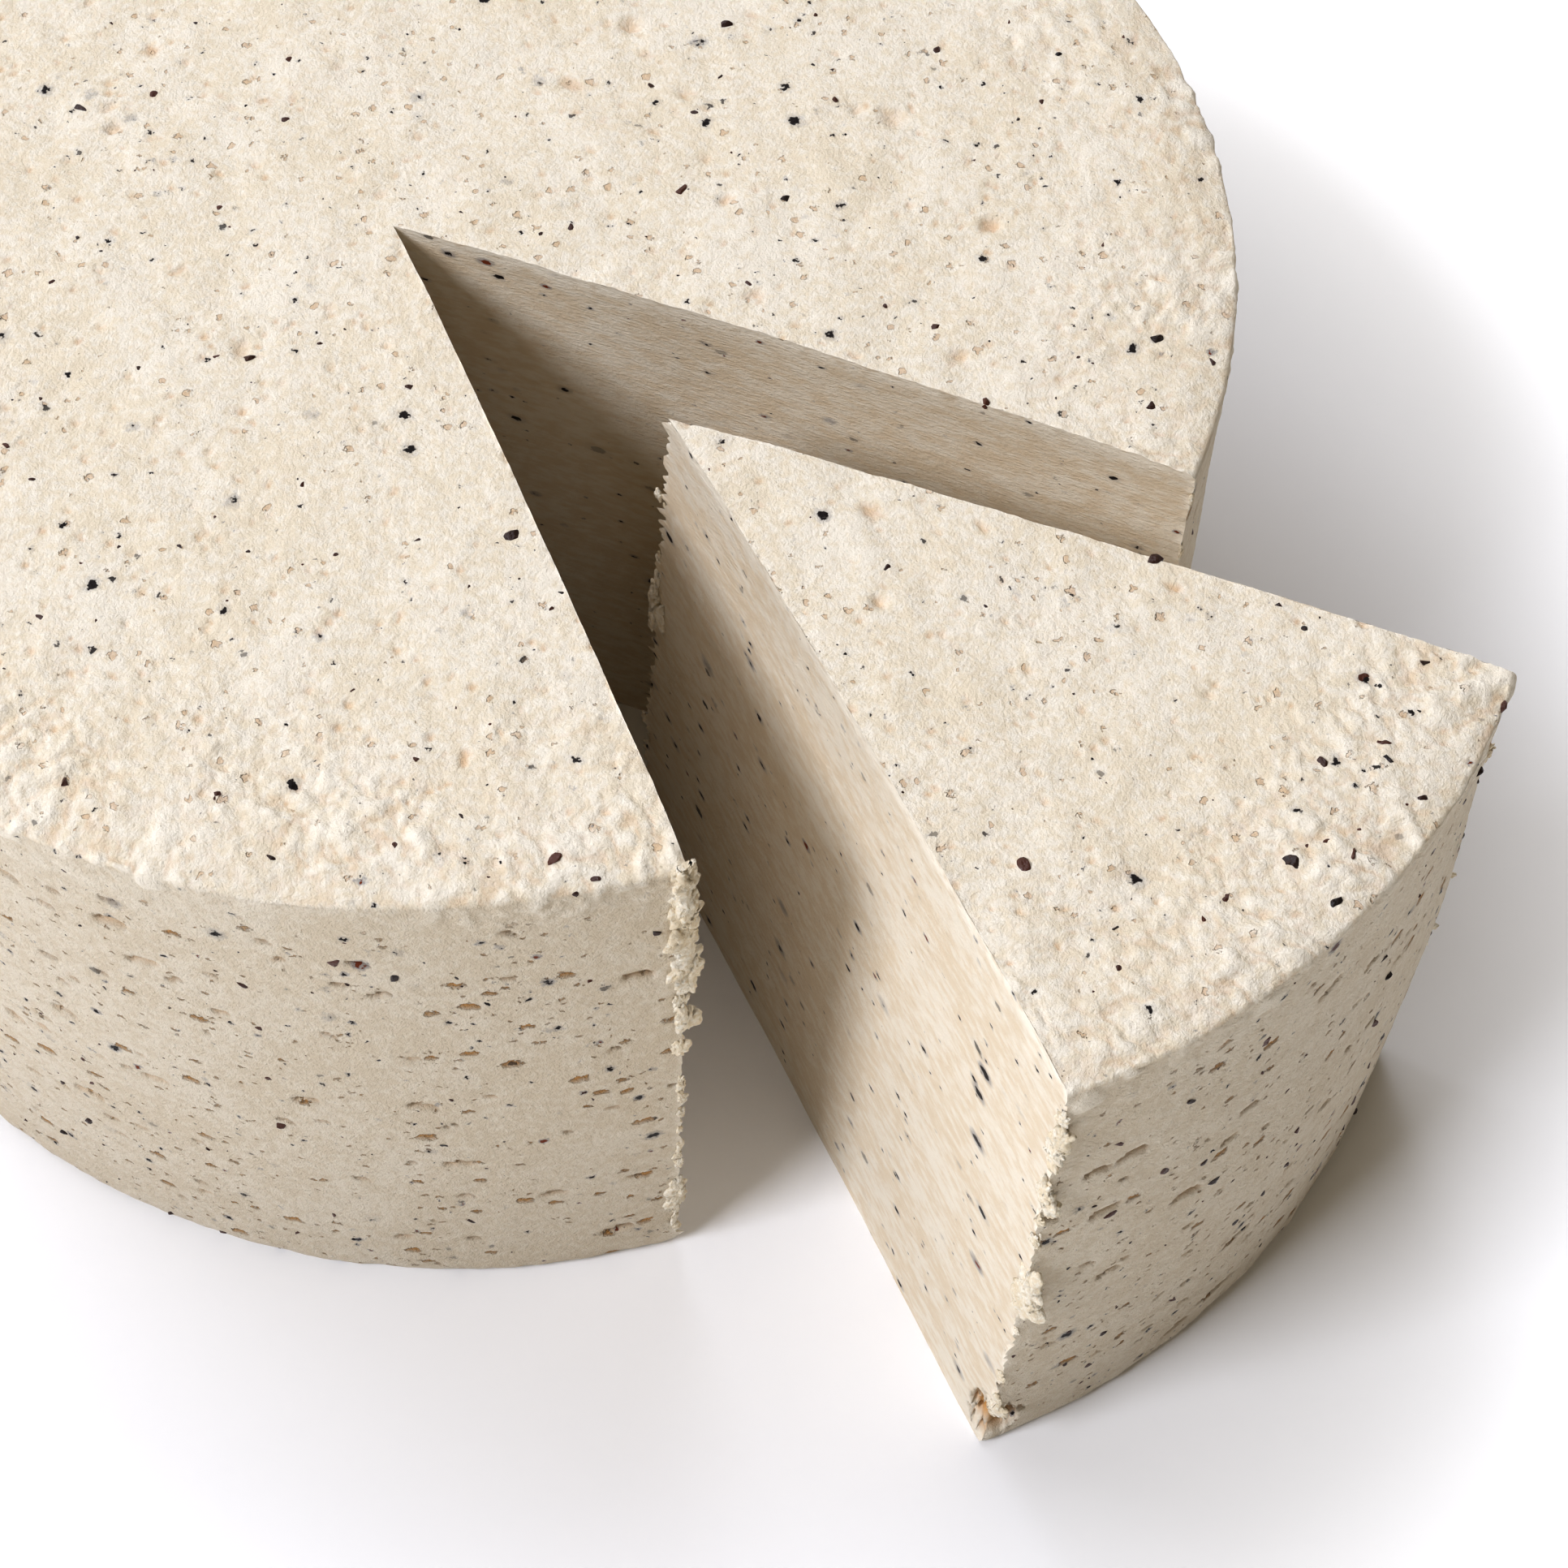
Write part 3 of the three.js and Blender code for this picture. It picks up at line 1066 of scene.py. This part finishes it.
def makeCutFace():
    # knife-cut paste: smooth, with fine level streaks and smeared flecks
    p = cutLook
    material, tree, shader, place = startMaterial("cheeseCutFace")
    pale = share(tree, "pale")
    drawn = stretch(tree, place, p["mottleStretch"])
    mottle = useGroup(tree, mottleGroup, Vector=drawn, Broad=p["broad"], Fine=p["fine"])
    base = blendColour(tree, mottle["Tone"], colours["cutDeep"], colours["cutLight"])
    streak = noise(tree, stretch(tree, place, p["streakStretch"]), 1.0, 3.0, 0.7)
    base = blendColour(tree, ramp(tree, streak, 0.5, 0.75, 0.0, p["paleStreak"]), base, colours["pale"])
    base = blendColour(tree, ramp(tree, streak, 0.46, 0.25, 0.0, p["deepStreak"]), base, colours["hollow"])
    base = blendColour(tree, maths(tree, "MULTIPLY", pale, p["paleTint"]), base, colours["pale"])
    # painted shade: the torn hole at the wedge's foot is tinted brown
    base = blendColour(tree, share(tree, "stainAndShade"), base, colours["hollow"])
    smeared = jitter(tree, stretch(tree, place, p["fleckStretch"]), 1.5, 0.8)
    base, core = addFlecks(tree, base, smeared, p["flecks"])
    tree.links.new(base, shader.inputs["Base Color"])
    fine = noise(tree, stretch(tree, place, (0.7, 0.7, 1.5)), 2.2, 2.0, 0.65)
    height = maths(tree, "MULTIPLY_ADD", fine, p["grain"], maths(tree, "MULTIPLY", streak, p["streakRise"]))
    tree.links.new(addBump(tree, height, mm), shader.inputs["Normal"])
    rough = ramp(tree, streak, 0.3, 0.7, 0.58, 0.74)
    tree.links.new(maths(tree, "MULTIPLY_ADD", core, -0.2, rough), shader.inputs["Roughness"])
    finishPaste(shader)
    return material


def makePepper():
    material, tree, shader, place = startMaterial("crackedPepper")
    shade = share(tree, "shade")
    husk = blendColour(tree, shade, colours["blackHusk"], colours["brownHusk"])
    worn = noise(tree, place, 3.0, 3.0)
    base = blendColour(tree, ramp(tree, worn, 0.52, 0.75, 0.0, 0.5), husk, colours["wornHusk"])
    tree.links.new(base, shader.inputs["Base Color"])
    tree.links.new(addBump(tree, maths(tree, "MULTIPLY", worn, 0.15), mm), shader.inputs["Normal"])
    tree.links.new(ramp(tree, worn, 0.35, 0.7, 0.28, 0.6), shader.inputs["Roughness"])
    return material


def makeCrumb():
    material, tree, shader, place = startMaterial("cheeseCrumb")
    mottle = useGroup(tree, mottleGroup, Vector=place, Broad=0.2, Fine=1.4)
    base = blendColour(tree, mottle["Tone"], colours["scrapDeep"], colours["scrapLight"])
    tree.links.new(base, shader.inputs["Base Color"])
    fine = noise(tree, place, 3.2, 4.0, 0.65)
    tree.links.new(addBump(tree, maths(tree, "MULTIPLY", fine, 0.3), mm), shader.inputs["Normal"])
    tree.links.new(ramp(tree, mottle["Grain"], 0.3, 0.7, 0.6, 0.8), shader.inputs["Roughness"])
    finishPaste(shader)
    return material


skin, cutFace = makeSkin(), makeCutFace()
for piece in (wheel, wedge):
    piece.data.materials.append(skin)
    piece.data.materials.append(cutFace)
pepperMaterial, crumbMaterial = makePepper(), makeCrumb()
for piece in (wheelPepper, wedgePepper):
    piece.data.materials.append(pepperMaterial)
for piece in (wheelCrumbs, wedgeCrumbs):
    piece.data.materials.append(crumbMaterial)
print("made materials")

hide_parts("wheel")
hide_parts("wedge")
for piece in (wheel, wheelPepper, wheelCrumbs):
    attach(piece, "root")
for piece in (wedge, wedgePepper, wedgeCrumbs):
    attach(piece, "root")


studio = {
    "key": {"azimuth": 204, "rise": 45, "away": 3.0, "size": 1.02, "watts": 68.0},
    "back": {"azimuth": 115, "rise": 52, "away": 3.0, "size": 2.5, "watts": 62.0},
    "tint": (0.965, 1.0, 1.11),
    "aim": (0.0, 0.0, 0.05),
    "world": 0.18,
    "worldTint": (1.0, 0.83, 0.58, 1.0),
    "wall": (0.86, 0.86, 0.87, 1.0),
    "gamma": 0.8,
}


def addSoftLight(name):
    plan = studio[name]
    lamp = bpy.data.lights.new(name, "AREA")
    lamp.shape = "SQUARE"
    lamp.size, lamp.energy = plan["size"], plan["watts"]
    lamp.color = studio["tint"]
    turn, rise = math.radians(plan["azimuth"]), math.radians(plan["rise"])
    heading = Vector((math.cos(turn) * math.cos(rise), math.sin(turn) * math.cos(rise), math.sin(rise)))
    holder = bpy.data.objects.new(name, lamp)
    holder.location = Vector(studio["aim"]) + heading * plan["away"]
    holder.rotation_euler = (-heading).to_track_quat("-Z", "Y").to_euler()
    bpy.context.scene.collection.objects.link(holder)


board = {
    "half": 3.0,
    "albedo": 0.94,
    # painted light: the board's own glow away from the cheese
    "paintedGlow": 0.5, "paintedGlowStarts": 115.0, "paintedGlowFull": 215.0,     # millimetres from the origin
}


def makeFloor():
    half = board["half"]
    points = np.array([(-half, -half, 0), (half, -half, 0), (half, half, 0), (-half, half, 0)]) / mm
    floor = buildMesh("floor", points, np.array([[0, 1, 2, 3]]))
    material, tree, shader, place = startMaterial("paleBoard")
    shader.inputs["Base Color"].default_value = (*[board["albedo"]] * 3, 1)
    worn = noise(tree, place, 0.02, 2.0)
    tree.links.new(ramp(tree, worn, 0.3, 0.7, 0.62, 0.72), shader.inputs["Roughness"])
    # painted light: the board glows by its own emission away from the cheese, brightening it like a lit
    # sweep
    far = vectorMaths(tree, "LENGTH", place, (0, 0, 0))
    paintedGlow = ramp(tree, far, board["paintedGlowStarts"], board["paintedGlowFull"], 0.0, board["paintedGlow"])
    tree.links.new(blendColour(tree, paintedGlow, (0, 0, 0, 1), (1, 1, 1, 1)), shader.inputs["Emission Color"])
    shader.inputs["Emission Strength"].default_value = 1.0
    floor.data.materials.append(material)


def makeWorld():
    world = bpy.data.worlds.new("studio")
    world.use_nodes = True
    tree = world.node_tree
    backdrop = tree.nodes["Background"]
    # warm and dim as light, but pale where it is seen behind the board
    seen = addNode(tree, "ShaderNodeLightPath").outputs["Is Camera Ray"]
    tree.links.new(blendColour(tree, seen, studio["worldTint"], studio["wall"]), backdrop.inputs["Color"])
    tree.links.new(ramp(tree, seen, 0.0, 1.0, studio["world"], 1.0), backdrop.inputs["Strength"])
    bpy.context.scene.world = world


# The view from above the front, seen from the wheel's own axis
cameraPlan = {
    "from": (-0.68, -253.2, 361.1),    # millimetres from the foot of the wheel's axis
    "yaw": 10.55, "pitch": 57.59, "roll": -3.03,
    "lens": 66.16, "sensor": 36.0,
}


def addCamera():
    p = cameraPlan
    yaw, pitch, roll = (math.radians(p[key]) for key in ("yaw", "pitch", "roll"))
    forward = Vector((math.sin(yaw) * math.cos(pitch), math.cos(yaw) * math.cos(pitch), -math.sin(pitch)))
    right = Vector((math.cos(yaw), -math.sin(yaw), 0))
    up = right.cross(forward)
    across = right * math.cos(roll) - up * math.sin(roll)
    upward = right * math.sin(roll) + up * math.cos(roll)
    camera = bpy.data.objects.new("camera", bpy.data.cameras.new("camera"))
    camera.data.lens, camera.data.sensor_width = p["lens"], p["sensor"]
    camera.data.clip_start, camera.data.clip_end = 0.01, 10
    turn = Matrix((across, upward, -forward)).transposed().to_4x4()
    spot = Vector(p["from"]) + Vector((axisX, axisY, 0))
    camera.matrix_world = Matrix.Translation(spot * mm) @ turn
    bpy.context.scene.collection.objects.link(camera)
    bpy.context.scene.camera = camera


makeFloor()
makeWorld()
addSoftLight("key")
addSoftLight("back")
addCamera()
bpy.context.scene.view_settings.view_transform = "Standard"
bpy.context.scene.view_settings.gamma = studio["gamma"]
print("made floor, light and camera")
